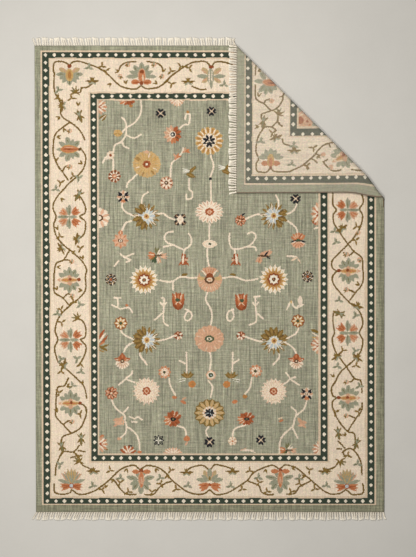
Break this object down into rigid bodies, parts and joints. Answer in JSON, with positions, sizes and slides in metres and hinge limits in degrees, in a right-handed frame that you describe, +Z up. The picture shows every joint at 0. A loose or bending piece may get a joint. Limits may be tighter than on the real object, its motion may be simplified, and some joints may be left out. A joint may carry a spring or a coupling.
{
  "type": "oushak rug",
  "caption": "Hand-knotted wool rug with a floral field, bordered sides and end fringes, lying flat with one corner turned over to show its back.",
  "frame": {"origin": "on the floor, at the middle of the footprint of the rug and its fringes", "axes": "+Z up out of the pile, +Y along the long sides towards the end with the turned corner, +X towards the side with the turned corner"},
  "size_m": [1.8402, 2.528, 0.0319],
  "materials": {
    "wool": "short knotted wool pile, matt with a slight sheen",
    "warp": "undyed twisted cotton warp ends"
  },
  "bodies": {
    "root": {"rug": "wool", "fringe_bottom": "warp", "fringe_top": "warp", "fringe_flap": "warp"}
  },
  "joints": []
}
